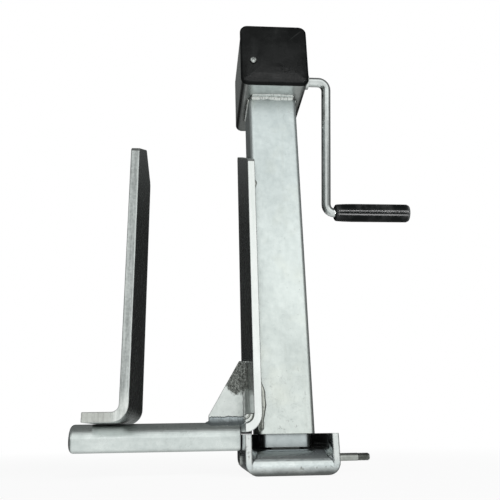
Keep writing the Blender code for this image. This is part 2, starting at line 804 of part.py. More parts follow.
def foot_under():
    """The hollow below the floor, rounded in along the sides."""
    end_wall, floor, corner = 6.0, 3.8, 4.0
    under = foot_profile(
        "foot_under",
        arc(FOOT_Y1 - end_wall - corner, FOOT_FLOOR - floor - corner, corner, 0, 90, 4)
        + ellipse_arc(ROLL_Y, ROLL_Z, ROLL_L - end_wall, ROLL_H - floor, 90, 180, 8)
        + [(FOOT_Y0 + end_wall, -10.0), (FOOT_Y1 - end_wall, -10.0)],
    )
    inner_radius = FOOT_R - FOOT_WALL
    side, mouth = FOOT_HALF - FOOT_WALL, CORNER_X - 0.8
    width = foot_section(
        "foot_under_width",
        [(side, 60.0), (-side, 60.0)]
        + arc(-CORNER_X, FOOT_R, inner_radius, 180, 262, 5)
        + [(-mouth, -20.0), (mouth, -20.0)]
        + arc(CORNER_X, FOOT_R, inner_radius, 278, 360, 5),
        FOOT_L + 20,
    )
    boolean(under, width, "INTERSECT")
    return under


def foot_lip():
    """Rounds the front lower edge."""
    depth, height, past = 3.4, 4.6, 2.0
    return foot_profile(
        "foot_lip",
        [(FOOT_Y0 - past, -past), (FOOT_Y0 + depth, -past)]
        + ellipse_arc(FOOT_Y0 + depth, height, depth, height, 270, 180, 6)
        + [(FOOT_Y0 - past, height)],
    )


foot = foot_section(
    "foot",
    arc(-CORNER_X, FOOT_R, FOOT_R, 180, 270, 7)
    + arc(CORNER_X, FOOT_R, FOOT_R, 270, 360, 7)
    + [(FOOT_HALF, FOOT_H), (-FOOT_HALF, FOOT_H)],
    FOOT_L,
)
for cutter in (foot_above(), foot_under(), foot_lip()):
    boolean(foot, cutter)
# the window in the floor around the leg's lug
boolean(foot, box("foot_window", (31.8, 34.0, 30.0), (0, 0, FOOT_FLOOR), parent=foot_axis))
drill(foot, "foot_bolt_hole", BOLT_HOLE_R, 120, BOLT_AT, "X", 32)
SEAT_DEPTH, SEAT_CUT_L = 3.2, 10
seat_at = (-FOOT_HALF + SEAT_DEPTH - SEAT_CUT_L / 2, 0, BOLT_Z)
drill(foot, "foot_bolt_seat", 7.0, SEAT_CUT_L, seat_at, "X", 32)


def foot_bolt():
    """The cross bolt: head at the -X side, thread rings at the +X end."""
    pitch, turns = 1.25, 10
    head_radius, head_x = 6.5, -FOOT_HALF + SEAT_DEPTH - GAP
    thread_x1 = BOLT_X1 - 1.0
    crest = BOLT_R - 0.04
    thread = []
    for i in range(turns):
        x = thread_x1 - i * pitch
        thread += [(BOLT_R - 0.78, x), (crest, x - pitch * 0.45), (crest, x - pitch * 0.6)]
    profile = [(0, BOLT_X1), (BOLT_R - 0.9, BOLT_X1)] + thread
    profile += [
        (BOLT_R, thread_x1 - turns * pitch - 0.4), (BOLT_R, head_x), (head_radius, head_x),
        (head_radius, BOLT_X0 + 0.8), (head_radius - 0.8, BOLT_X0), (0, BOLT_X0),
    ]
    turned(
        "foot_bolt", profile, BOLT_AT,
        axis="X", parent=foot_axis, segments=28, look=ZINC_FASTENER,
    )


foot_bolt()
ring(
    "bolt_ring", BOLT_R + 0.25, 4.95, 37.4, 36.0, BOLT_AT,
    axis="X", parent=foot_axis, segments=28, look=DARK_BRIGHT,
)


# ---------------------------------------------------------------- cradle brackets
def bracket(name, face_x, thick, flange, low_z, bend, crown):
    """A bent plate: upright with its +X face at face_x, curving to the -X side at the bottom.

    bend is the outer radius, flange the flat beyond the bend, and crown the top edge
    as (y, height above the lowest edge) points, from the back to the front."""
    x, z = face_x - bend, low_z + bend
    section = (
        [(face_x, low_z + 400.0), (face_x - thick, low_z + 400.0)]
        + arc(x, z, bend - thick, 0, -90, 7)
        + ([(x - flange, low_z + thick), (x - flange, low_z)] if flange else [])
        + arc(x, z, bend, -90, 0, 9)
    )
    length = PLATE_Y1 - PLATE_Y0 + 20.0
    made = slab(name, [section], length, (0, PLATE_YC, 0), plane="XZ")
    shoulder = low_z + SHOULDER_RISE
    side = [(y, low_z + rise) for y, rise in crown] + [
        (PLATE_Y0 + 4.0, shoulder + 1.2), (PLATE_Y0 + 1.2, shoulder - 1.0),
        (PLATE_Y0, shoulder - 4.0), (PLATE_Y0, -20.0), (PLATE_Y1, -20.0),
    ]
    boolean(made, slab(name + "_side", [side], 700.0, (0, 0, 0), plane="YZ"), "INTERSECT")
    bevel(made, width=0.7, angle=50)


bracket(
    "right_bracket", RIGHT_X, RIGHT_T, 0.0, RIGHT_Z0, RIGHT_BEND,
    [
        (PLATE_Y1, RIGHT_BACK - 4.0), (PLATE_Y1 - 1.0, RIGHT_BACK - 1.6),
        (PLATE_Y1 - 3.4, RIGHT_BACK), (PLATE_Y1 - 6.5, RIGHT_BACK - 1.2),
    ],
)
bracket(
    "left_bracket", LEFT_X, LEFT_T, 28.0, ABOVE_BAR, LEFT_BEND,
    [
        (PLATE_Y1, LEFT_BACK - 4.0), (PLATE_Y1 - 1.4, LEFT_BACK - 1.0),
        (PLATE_Y1 - 5.0, LEFT_BACK + 1.2), (4.0, LEFT_RIDGE), (0.5, LEFT_RIDGE - 1.0),
    ],
)


def cradle_bar():
    """A round bar with a rolled far (-X) end and a small chamfer at the near one."""
    length, chamfer = BAR_X1 - BAR_X0, 0.5
    profile = [(0.0, length), (BAR_R - chamfer, length), (BAR_R, length - chamfer)]
    for degrees in (90, 68, 45, 22, 0):
        angle = math.radians(degrees)
        radius = BAR_R - BAR_ROLL + BAR_ROLL * math.sin(angle)
        profile.append((radius, BAR_ROLL - BAR_ROLL * math.cos(angle)))
    profile.append((0.0, 0.0))
    turned("cradle_bar", profile, (BAR_X0, BAR_Y, BAR_Z), axis="X", segments=48)


def gusset():
    """A triangular web on the bar, fitted into the right bracket's bend."""
    x, z = RIGHT_X - RIGHT_T - GAP, ABOVE_BAR
    height, top_width, length, toe = 64.5, 8.6, 42.5, 7.0
    bend_radius = RIGHT_BEND - RIGHT_T - GAP
    bend_x, bend_z = RIGHT_X - RIGHT_BEND, RIGHT_Z0 + RIGHT_BEND
    bend_end = math.degrees(math.asin((bend_z - z) / bend_radius))
    outline = arc(bend_x, bend_z, bend_radius, -bend_end, 0, 4) + [
        (x, z + height), (x - top_width, z + height), (x - length, z + toe), (x - length, z),
    ]
    bevel(slab("gusset", [outline], 8.0, (0, BAR_Y, 0), plane="XZ"), width=0.6, angle=30)


cradle_bar()
gusset()
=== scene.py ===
"""Looks of a trailer tongue jack: plated steel, black mouldings, weld beads, stage and camera.

The CAD pieces lie in the row frame: metres, X right, Y back, Z up. The working frame has the
same axes in mm, with the tube's axis at x = y = 0 and the bottom of the foot at z = 0.
"""

import math
import random

import bmesh
import bpy
from mathutils import Matrix, Vector, noise


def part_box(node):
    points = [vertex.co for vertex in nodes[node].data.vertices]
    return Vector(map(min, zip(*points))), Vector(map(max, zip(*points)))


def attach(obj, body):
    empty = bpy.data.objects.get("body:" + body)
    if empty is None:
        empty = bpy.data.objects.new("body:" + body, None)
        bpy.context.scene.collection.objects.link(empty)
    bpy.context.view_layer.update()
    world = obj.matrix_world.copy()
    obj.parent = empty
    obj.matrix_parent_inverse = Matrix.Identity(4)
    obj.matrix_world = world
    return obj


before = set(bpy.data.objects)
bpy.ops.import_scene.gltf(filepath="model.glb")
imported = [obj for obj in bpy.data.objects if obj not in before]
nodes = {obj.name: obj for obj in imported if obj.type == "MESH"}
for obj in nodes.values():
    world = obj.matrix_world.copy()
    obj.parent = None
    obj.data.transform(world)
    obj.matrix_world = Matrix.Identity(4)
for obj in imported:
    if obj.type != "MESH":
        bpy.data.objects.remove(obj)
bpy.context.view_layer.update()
scene = bpy.context.scene

tube_lo, tube_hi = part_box("outer_tube")
foot_lo, foot_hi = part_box("foot")
ORIGIN = Vector(((tube_lo.x + tube_hi.x) / 2, (tube_lo.y + tube_hi.y) / 2, foot_lo.z))
X, Y, Z = range(3)


def row(x, y, z):
    """A point of the working frame (mm) in the row frame (m)."""
    return ORIGIN + Vector((x, y, z)) / 1000


def box_mm(name):
    """The low and high corners of a CAD piece in the working frame."""
    return [(corner - ORIGIN) * 1000 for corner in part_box(name)]


left_lo, left_hi = box_mm("left_bracket")
plate_lo = box_mm("right_bracket")[0]
gusset_lo, gusset_hi = box_mm("gusset")
bar_lo, bar_hi = box_mm("cradle_bar")
tube_top = box_mm("outer_tube")[1].z


# ------------------------------------------------------------------ node tools
FALL = (1.0, 0.0)  # the output of a ramp that falls instead of rising


def is_socket(value):
    return hasattr(value, "is_output")


def rgba(colour):
    return colour if is_socket(colour) else (*colour, 1)


class NodeTree:
    """Short names for building a node tree. Values may be sockets or constants."""

    def __init__(self, tree):
        self.tree = tree
        tree.nodes.clear()

    def node(self, kind, inputs=None, **props):
        made = self.tree.nodes.new("ShaderNode" + kind)
        for key, value in props.items():
            setattr(made, key, value)
        for key, value in (inputs or {}).items():
            self.put(made.inputs[key], value)
        return made

    def put(self, socket, value):
        if is_socket(value):
            self.tree.links.new(value, socket)
        else:
            socket.default_value = value

    def math(self, operation, first, second=0.0):
        return self.node("Math", {0: first, 1: second}, operation=operation).outputs[0]

    def chain(self, operation, values):
        made = values[0]
        for value in values[1:]:
            made = self.math(operation, made, value)
        return made

    def times(self, *factors):
        return self.chain("MULTIPLY", factors)

    def plus(self, *terms):
        return self.chain("ADD", terms)

    def largest(self, *values):
        return self.chain("MAXIMUM", values)

    def minus(self, first, second):
        return self.math("SUBTRACT", first, second)

    def magnitude(self, value):
        return self.math("ABSOLUTE", value)

    def ramp(self, value, over, into=(0.0, 1.0), smooth=False):
        """Maps the range `over` to the range `into`, clamped."""
        ends = {"From Min": over[0], "From Max": over[1], "To Min": into[0], "To Max": into[1]}
        curve = "SMOOTHSTEP" if smooth else "LINEAR"
        made = self.node("MapRange", {"Value": value, **ends}, clamp=True, interpolation_type=curve)
        return made.outputs["Result"]


class Shader(NodeTree):
    """A material with one Principled surface, textured in object coordinates (m)."""

    def __init__(self, name):
        self.material = bpy.data.materials.new(name)
        self.material.use_nodes = True
        super().__init__(self.material.node_tree)
        self.out = self.node("OutputMaterial")
        self.bsdf = self.node("BsdfPrincipled")
        self.put(self.out.inputs[0], self.bsdf.outputs[0])
        self.coord = self.node("TexCoord").outputs["Object"]
        self.geometry = self.node("NewGeometry").outputs

    def noise(self, scale, detail=4.0, rough=0.55, stretch=None, offset=None, distortion=0.0):
        vector = self.coord
        if stretch or offset:
            moved = {"Scale": stretch or (1, 1, 1), "Location": offset or (0, 0, 0)}
            vector = self.node("Mapping", {"Vector": self.coord, **moved}).outputs[0]
        settings = {"Scale": scale, "Detail": detail, "Roughness": rough, "Distortion": distortion}
        return self.node("TexNoise", {"Vector": vector, **settings}).outputs["Fac"]

    def cells(self, scale, output):
        return self.node("TexVoronoi", {"Vector": self.coord, "Scale": scale}).outputs[output]

    def mix(self, share, base, over, blend="MIX"):
        inputs = {"Factor": share, 6: rgba(base), 7: rgba(over)}
        return self.node("Mix", inputs, data_type="RGBA", blend_type=blend).outputs[2]

    def weighted(self, *pairs):
        """The sum of (value, weight) pairs."""
        return self.plus(*[self.times(value, weight) for value, weight in pairs])

    def swing(self, value, size):
        """A 0 to 1 value moved to swing about zero, `size` from end to end."""
        return self.times(self.minus(value, 0.5), size)

    def place(self, axis):
        """One coordinate of the working frame, in mm."""
        coord = self.node("SeparateXYZ", {0: self.coord}).outputs[axis]
        return self.times(self.minus(coord, ORIGIN[axis]), 1000.0)

    def facing(self, axis):
        """One component of the surface normal."""
        return self.node("SeparateXYZ", {0: self.geometry["Normal"]}).outputs[axis]

    def cut_face(self):
        """1 on faces turned to the front or the back."""
        return self.ramp(self.magnitude(self.facing(Y)), over=(0.75, 0.9))

    def edge(self, over):
        """1 on convex edges of the mesh."""
        return self.ramp(self.geometry["Pointiness"], over)

    def bump(self, normal, height, strength, depth):
        inputs = {"Strength": strength, "Distance": depth, "Height": height, "Normal": normal}
        return self.node("Bump", inputs).outputs[0]

    def rounded(self, radius):
        return self.node("Bevel", {"Radius": radius}, samples=6).outputs[0]

    def crevice(self):
        """0 in a tight corner, 1 in the open."""
        made = self.node("AmbientOcclusion", {"Distance": 0.014}, samples=6)
        return self.ramp(made.outputs["AO"], over=(0.25, 0.85))

    def shaded(self, colour, light):
        """The colour, falling to near black as light goes from 1 to 0."""
        return self.mix(light, base=(0.012, 0.012, 0.012), over=colour)

    def finish(self, colour, rough, metal, normal=None, specular=None):
        values = {"Base Color": rgba(colour), "Roughness": rough, "Metallic": metal,
                  "Normal": normal, "Specular IOR Level": specular}
        for key, value in values.items():
            if value is not None:
                self.put(self.bsdf.inputs[key], value)
        return self.material


# ------------------------------------------------------------------ plating and plastic
CORNER_SHADE_GREY = (0.10, 0.10, 0.095)
EDGE_WEAR_AND_HIGHLIGHT = (0.93, 0.95, 0.94)
SCUFF = (0.04, 0.042, 0.042)


def plated(name, bright, dark, rough=(0.3, 0.46), grain=(1, 1, 0.12), warm=None, mottle=0.5,
           round_edge=0.0006, scratches=0.35, speck=0.5, extra=None, corner_shade=0.75):
    """Bright zinc plating: cloudy tone, fine pull lines, pin-prick specks, brighter worn edges,
    painted shade in tight corners.

    grain stretches the pull lines along its smallest axis; mottle widens the tone range;
    extra(mat, colour, rough, normal) adds what only one piece has, and returns the last three."""
    mat = Shader(name)
    cloud = mat.noise(scale=17.0, detail=5.0, rough=0.6, stretch=(1.0, 1.0, 0.55))
    flake = mat.noise(scale=120.0, detail=3.0, rough=0.65)
    spangle = mat.node("RGBToBW", {0: mat.cells(230.0, "Color")}).outputs[0]
    lines = mat.noise(scale=900.0, detail=2.0, rough=0.5, stretch=grain)
    tone = mat.weighted((cloud, 0.62), (flake, 0.26), (spangle, 0.12))
    tone = mat.ramp(tone, over=(0.5 - 0.25 * mottle, 0.5 + 0.25 * mottle))
    colour = mat.mix(tone, dark, bright)
    if warm is not None:
        patch = mat.noise(scale=26.0, detail=3.0, rough=0.5, offset=(3.1, 0.4, 1.7))
        colour = mat.mix(mat.ramp(patch, over=(0.56, 0.74), into=(0.0, 0.55)), colour, warm)
    pits = mat.noise(scale=520.0, detail=2.0, rough=0.5)
    pits = mat.ramp(pits, over=(0.70, 0.78), into=(0.0, speck))
    colour = mat.mix(pits, colour, over=(0.2, 0.21, 0.2))
    colour = mat.mix(mat.times(mat.edge(over=(0.53, 0.66)), 0.5), colour, EDGE_WEAR_AND_HIGHLIGHT)
    sheen = mat.weighted((cloud, 0.6), (flake, 0.4))
    gloss = mat.ramp(sheen, over=(0.36, 0.64), into=(rough[1], rough[0]))
    gloss = mat.plus(gloss, mat.swing(lines, size=0.14))
    normal = mat.rounded(round_edge)
    normal = mat.bump(normal, lines, strength=scratches * 0.22, depth=0.0002)
    normal = mat.bump(normal, flake, strength=0.12, depth=0.0005)
    normal = mat.bump(normal, cloud, strength=0.25, depth=0.0016)
    if extra is not None:
        colour, gloss, normal = extra(mat, colour, gloss, normal)
    # Painted shade: tight corners and crevices, found by ambient occlusion, darken towards a dark
    # grey and turn rougher; the shade amount argument sets how far.
    open_air = mat.crevice()
    corner_shade_colour = mat.mix(0.0, CORNER_SHADE_GREY, CORNER_SHADE_GREY)
    colour = mat.mix(mat.ramp(open_air, over=(0.0, 1.0), into=(1.0 - corner_shade, 1.0)), corner_shade_colour, colour)
    gloss = mat.plus(gloss, mat.ramp(open_air, over=(0.0, 1.0), into=(0.18 * corner_shade, 0.0)))
    return mat.finish(colour, gloss, metal=1.0, normal=normal)


def plastic(name, base, rough, grain_scale=1400.0, grain=0.12, streak=(1, 1, 1), specular=0.2):
    """Black moulded plastic: fine spark texture, faint dust and rub marks."""
    mat = Shader(name)
    cloud = mat.noise(scale=30.0, detail=4.0, rough=0.6)
    fine = mat.noise(scale=grain_scale, detail=2.0, rough=0.5)
    rub = mat.noise(scale=60.0, detail=3.0, rough=0.6, stretch=streak)
    lighter = tuple(channel * 1.9 + 0.006 for channel in base)
    colour = mat.mix(mat.ramp(cloud, over=(0.4, 0.7), into=(0.0, 0.6)), base, lighter)
    colour = mat.mix(mat.ramp(rub, over=(0.62, 0.8), into=(0.0, 0.3)), colour, SCUFF)
    colour = mat.mix(mat.times(mat.edge(over=(0.53, 0.64)), 0.4), colour, SCUFF)
    gloss = mat.plus(mat.ramp(cloud, over=(0.35, 0.65), into=rough), mat.swing(rub, size=0.2))
    normal = mat.bump(mat.rounded(0.0008), fine, strength=grain, depth=0.00025)
    normal = mat.bump(normal, rub, strength=0.1, depth=0.0006)
    return mat.finish(colour, gloss, metal=0.0, normal=normal, specular=specular)


# ------------------------------------------------------------------ what single pieces add
def scribble(mat, colour, amount, scale=34.0, patch_scale=11.0):
    """Hair-thin wandering handling marks, in a few patches only."""
    wander = mat.noise(scale=scale, detail=6.0, rough=0.62, distortion=1.6)
    line = mat.ramp(mat.magnitude(mat.minus(wander, 0.5)), over=(0.0, 0.012), into=FALL)
    patch = mat.noise(scale=patch_scale, detail=2.0, rough=0.5, offset=(4.0, 2.0, 9.0))
    patch = mat.ramp(patch, over=(0.50, 0.62), into=(0.0, amount))
    return mat.mix(mat.times(line, patch), colour, over=(0.28, 0.29, 0.28))


def tube_extra(mat, colour, rough, normal):
    """Warmer low down and cooler high up, with drips, slow swells and flecks near the ground."""
    height = mat.ramp(mat.place(Z), over=(40.0, 430.0))
    tint = mat.mix(height, base=(1.0, 1.0, 0.975), over=(0.955, 0.985, 1.0))
    colour = mat.mix(1.0, colour, tint, blend="MULTIPLY")
    colour = scribble(mat, colour, amount=0.22)
    drips = mat.noise(scale=70.0, detail=3.0, rough=0.6, stretch=(1, 1, 0.1), offset=(7, 1, 2))
    drips = mat.ramp(drips, over=(0.60, 0.72), into=(0.0, 0.30))
    colour = mat.mix(drips, colour, over=(0.70, 0.73, 0.70))
    wet = mat.noise(scale=240.0, detail=2.0, rough=0.5, offset=(1, 8, 3))
    wet = mat.ramp(wet, over=(0.68, 0.76))
    near_ground = mat.ramp(mat.place(Z), over=(60.0, 150.0), into=(1.0, 0.12))
    flecks = mat.times(wet, near_ground)
    colour = mat.mix(mat.times(flecks, 0.5), colour, over=(0.98, 0.99, 0.97))
    swells = mat.noise(scale=14.0, detail=3.0, rough=0.5, stretch=(1.6, 1.6, 0.35),
                       offset=(2, 5, 1))
    return colour, rough, mat.bump(normal, mat.plus(swells, flecks), strength=0.35, depth=0.0010)


def far_plate_extra(mat, colour, rough, normal):
    """Streaky grey front and back edges, lighter at the bend, with a painted highlight along the
    inner corner.
    """
    cut = mat.cut_face()
    streak = mat.noise(scale=300.0, detail=4.0, rough=0.65, stretch=(1.0, 1.0, 0.07),
                       offset=(2, 1, 5))
    speck = mat.noise(scale=420.0, detail=3.0, rough=0.7)
    tone = mat.weighted((streak, 0.65), (speck, 0.35))
    grey = mat.mix(mat.ramp(tone, over=(0.40, 0.60)), (0.37, 0.385, 0.38), (0.68, 0.70, 0.69))
    upright = mat.ramp(mat.place(Z), over=(left_lo.z + 16.0, left_lo.z + 34.0))
    bend = mat.mix(mat.ramp(tone, over=(0.38, 0.62)), (0.66, 0.68, 0.66), (0.985, 0.99, 0.97))
    in_flange = mat.ramp(mat.place(X), over=(left_hi.x - 20.0, left_hi.x - 12.0), into=FALL)
    flange = mat.mix(mat.ramp(tone, over=(0.38, 0.62)), (0.56, 0.56, 0.53), (0.74, 0.74, 0.71))
    edge_colour = mat.mix(upright, mat.mix(in_flange, bend, flange), grey)
    # Painted highlight: a thin bright line along the inner corner of the upright front edge, in the
    # edge colour.
    corner = mat.ramp(mat.place(X), over=(left_hi.x - 1.5, left_hi.x - 0.7), into=(0.0, 0.9))
    edge_colour = mat.mix(mat.times(corner, upright), edge_colour, EDGE_WEAR_AND_HIGHLIGHT)
    colour = mat.mix(cut, colour, edge_colour)
    rough = mat.plus(rough, mat.times(cut, 0.12))
    return colour, rough, mat.bump(normal, mat.times(cut, streak), strength=0.7, depth=0.0010)


def near_plate_extra(mat, colour, rough, normal):
    """Nearly white front and back edges, with faint lengthwise lines."""
    cut = mat.cut_face()
    lines = mat.noise(scale=260.0, detail=3.0, rough=0.6, stretch=(1.0, 1.0, 0.08),
                      offset=(1, 4, 2))
    white = mat.mix(mat.ramp(lines, over=(0.36, 0.6)), (0.93, 0.95, 0.93), (1.0, 1.0, 0.99))
    colour = mat.mix(cut, colour, white)
    return colour, rough, mat.bump(normal, mat.times(cut, lines), strength=0.25, depth=0.0006)


def foot_extra(mat, colour, rough, normal):
    """Painted shade in the trough beside the leg, on the tops of its walls and low down; a painted
    blue-grey reflection on the rolled top and a painted highlight across its front; dark chips on
    the edges.
    """
    z = mat.place(Z)
    x = mat.place(X)
    # Painted shade: a mask of the inside of the trough, between the walls and behind the rolled
    # front; it is darkened to near black below.
    trough_shade = mat.times(
        mat.ramp(x, over=(-40.9, -39.9)), mat.ramp(x, over=(39.9, 40.9), into=FALL),
        mat.ramp(mat.place(Y), over=(-45.0, -37.0)),
        mat.ramp(z, over=(19.0, 21.0)), mat.ramp(z, over=(38.2, 38.7), into=FALL))
    # Painted reflection: the upward faces of the rolled top, outside the trough, take a blue-grey.
    top = mat.times(mat.ramp(mat.facing(Z), over=(0.70, 0.97)),
                    mat.ramp(z, over=(27.0, 30.0), into=FALL),
                    mat.ramp(trough_shade, over=(0.0, 1.0), into=FALL))
    reflected_blue_grey = mat.noise(scale=90.0, detail=4.0, rough=0.6, stretch=(0.3, 1, 1))
    reflected_blue_grey = mat.mix(reflected_blue_grey, base=(0.22, 0.255, 0.28), over=(0.34, 0.38, 0.41))
    colour = mat.mix(mat.times(top, 0.9), colour, reflected_blue_grey)
    # Painted shade: darker towards the ground, below about 8 mm, along a ragged line.
    ragged = mat.swing(mat.noise(scale=130.0, detail=4.0, rough=0.7), size=5.0)
    ragged = mat.plus(z, ragged)
    colour = mat.shaded(colour, mat.ramp(ragged, over=(2.4, 7.6), into=(0.22, 1.0)))
    # Painted highlight: a near-white band across the front-facing roll, 9 to 16 mm up.
    front = mat.times(mat.ramp(mat.facing(Y), over=(-0.97, -0.88), into=FALL),
                      mat.ramp(z, over=(9.0, 16.0)))
    colour = mat.mix(mat.times(front, 0.8), colour, over=(0.99, 1.0, 0.985))
    chips = mat.noise(scale=260.0, detail=3.0, rough=0.7)
    chips = mat.ramp(chips, over=(0.56, 0.66), into=(0.0, 0.85))
    chips = mat.times(chips, mat.edge(over=(0.50, 0.58)))
    colour = mat.mix(chips, colour, over=(0.30, 0.30, 0.28))
    # Painted shade on the upward tops of the walls; it and the trough darken to near black and turn
    # rougher.
    rim_shade = mat.times(mat.ramp(mat.facing(Z), over=(0.5, 0.9)), mat.ramp(z, over=(36.0, 37.5)))
    dark = mat.largest(trough_shade, rim_shade)
    colour = mat.shaded(colour, mat.ramp(dark, over=(0.0, 1.0), into=(1.0, 0.03)))
    rough = mat.plus(rough, mat.times(dark, 0.3))
    return colour, rough, mat.bump(normal, ragged, strength=0.12, depth=0.0010)


def housing_extra(mat, colour, rough, normal):
    """Painted shade under the gearbox, deeper towards its back and its rolled lower edges, with
    blotchy tone and light chips on the left side.
    """
    # Painted shade: the underside darkens towards the back, the rolled edges and the sides.
    under = mat.ramp(mat.facing(Z), over=(-0.75, -0.15), into=FALL)
    back = mat.ramp(mat.place(Y), over=(-46.0, -8.0), into=(0.0, 0.68))
    rolled = mat.ramp(mat.magnitude(mat.facing(X)), over=(0.10, 0.45), into=(0.0, 0.62))
    sides = mat.ramp(mat.magnitude(mat.place(X)), over=(27.0, 37.0), into=(0.0, 0.45))
    shade = mat.times(under, mat.largest(back, rolled, sides))
    blotch = mat.noise(scale=95.0, detail=4.0, rough=0.7)
    blotch = mat.ramp(blotch, over=(0.40, 0.62), into=(0.86, 1.0))
    colour = mat.shaded(colour, mat.times(mat.minus(1.0, shade), blotch))
    chips = mat.ramp(mat.noise(scale=330.0, detail=3.0, rough=0.7), over=(0.60, 0.68))
    chips = mat.times(chips, mat.ramp(mat.facing(X), over=(-0.9, -0.7), into=FALL))
    colour = mat.mix(mat.times(chips, 0.6), colour, over=(0.98, 0.99, 0.97))
    return colour, rough, normal


def bar_extra(mat, colour, rough, normal):
    return scribble(mat, colour, amount=0.3, scale=44.0, patch_scale=19.0), rough, normal


def gusset_extra(mat, colour, rough, normal):
    """A ragged, lumpy grey patch about one point of the gusset."""
    centre, radius = tuple(row(-48.0, -11.5, 99.0)), 0.0185
    away = mat.node("VectorMath", {0: mat.coord, 1: centre}, operation="DISTANCE")
    ragged = mat.swing(mat.noise(scale=160.0, detail=3.0, rough=0.7), size=0.014)
    away = mat.plus(away.outputs["Value"], ragged)
    mask = mat.ramp(away, over=(radius * 0.86, radius), into=FALL)
    lumps = mat.cells(620.0, "Distance")
    tone = mat.ramp(mat.noise(scale=430.0, detail=3.0, rough=0.7), over=(0.38, 0.62))
    lumpy_grey = mat.mix(tone, base=(0.22, 0.225, 0.21), over=(0.62, 0.63, 0.6))
    colour = mat.mix(mask, colour, lumpy_grey)
    rough = mat.plus(rough, mat.times(mask, 0.2))
    return colour, rough, mat.bump(normal, mat.times(mask, lumps), strength=0.9, depth=0.0012)


# ------------------------------------------------------------------ materials
ALONG_X, ALONG_Y = (0.12, 1, 1), (1, 0.12, 1)  # pull lines run along this axis

tube_zinc = plated("zinc_tube", bright=(0.94, 0.975, 0.965), dark=(0.79, 0.835, 0.83),
                   warm=(0.93, 0.94, 0.87), rough=(0.30, 0.44), extra=tube_extra)
leg_zinc = plated("zinc_leg", bright=(0.80, 0.85, 0.86), dark=(0.60, 0.66, 0.68),
                  rough=(0.3, 0.42))
housing_zinc = plated("zinc_housing", bright=(0.80, 0.82, 0.80), dark=(0.56, 0.58, 0.56),
                      grain=ALONG_Y, rough=(0.22, 0.36), mottle=0.8, speck=0.9,
                      extra=housing_extra)
near_plate_zinc = plated("zinc_plate", bright=(0.90, 0.93, 0.915), dark=(0.72, 0.75, 0.74),
                         rough=(0.22, 0.34), warm=(0.9, 0.91, 0.83), extra=near_plate_extra)
bar_zinc = plated("zinc_bar", bright=(0.89, 0.925, 0.91), dark=(0.72, 0.765, 0.755),
                  grain=ALONG_X, rough=(0.26, 0.38), corner_shade=0.12, extra=bar_extra)
foot_zinc = plated("zinc_foot", bright=(0.90, 0.94, 0.94), dark=(0.66, 0.71, 0.72),
                   grain=ALONG_X, rough=(0.13, 0.24), round_edge=0.0022, extra=foot_extra)
gusset_zinc = plated("zinc_gusset", bright=(0.93, 0.95, 0.93), dark=(0.76, 0.79, 0.77),
                     rough=(0.3, 0.42), extra=gusset_extra)
far_plate_zinc = plated("zinc_far_plate", bright=(0.84, 0.87, 0.855), dark=(0.66, 0.69, 0.68),
                        rough=(0.2, 0.32), extra=far_plate_extra)
weld_bright = plated("weld_zinc", bright=(0.99, 0.995, 0.975), dark=(0.62, 0.64, 0.62),
                     rough=(0.12, 0.30), mottle=0.9, warm=(0.93, 0.92, 0.82), scratches=0.1,
                     speck=0.8, corner_shade=0.1)
weld_blue = plated("weld_blue", bright=(0.64, 0.69, 0.71), dark=(0.38, 0.42, 0.44),
                   rough=(0.22, 0.42), mottle=0.8, scratches=0.1, speck=0.7, corner_shade=0.45)
weld_straw = plated("weld_straw", bright=(0.94, 0.95, 0.89), dark=(0.60, 0.61, 0.55),
                    rough=(0.22, 0.42), mottle=1.0, scratches=0.1, speck=0.9, corner_shade=0.3)
rod_steel = plated("bright_rod", bright=(0.84, 0.86, 0.855), dark=(0.60, 0.62, 0.615),
                   grain=(0.1, 1, 1), rough=(0.09, 0.19), mottle=0.7, scratches=0.2)
screw_zinc = plated("fastener_zinc", bright=(0.86, 0.88, 0.86), dark=(0.6, 0.62, 0.6),
                    rough=(0.2, 0.34), round_edge=0.0002)
bolt_zinc = plated("bolt_zinc", bright=(0.62, 0.63, 0.60), dark=(0.30, 0.31, 0.29),
                   grain=ALONG_X, rough=(0.22, 0.36), round_edge=0.0002)
machined_steel = plated("machined_steel", bright=(0.62, 0.63, 0.62), dark=(0.4, 0.41, 0.4),
                        rough=(0.22, 0.36), round_edge=0.0003)
gear_iron = plated("gear_iron", bright=(0.36, 0.36, 0.35), dark=(0.2, 0.2, 0.19),
                   rough=(0.35, 0.55), round_edge=0.0003)
bronze = plated("bronze", bright=(0.72, 0.52, 0.26), dark=(0.5, 0.34, 0.16),
                rough=(0.28, 0.42), round_edge=0.0003)
cap_black = plastic("black_cap", base=(0.0026, 0.0030, 0.0030), rough=(0.20, 0.30),
                    grain_scale=1500.0, grain=0.06, specular=0.09)
grip_black = plastic("black_grip", base=(0.0005, 0.0006, 0.0006), rough=(0.13, 0.20),
                     grain_scale=1100.0, grain=0.006, streak=(0.08, 1, 1), specular=0.05)
guide_black = plastic("black_guide", base=(0.012, 0.012, 0.012), rough=(0.4, 0.55))

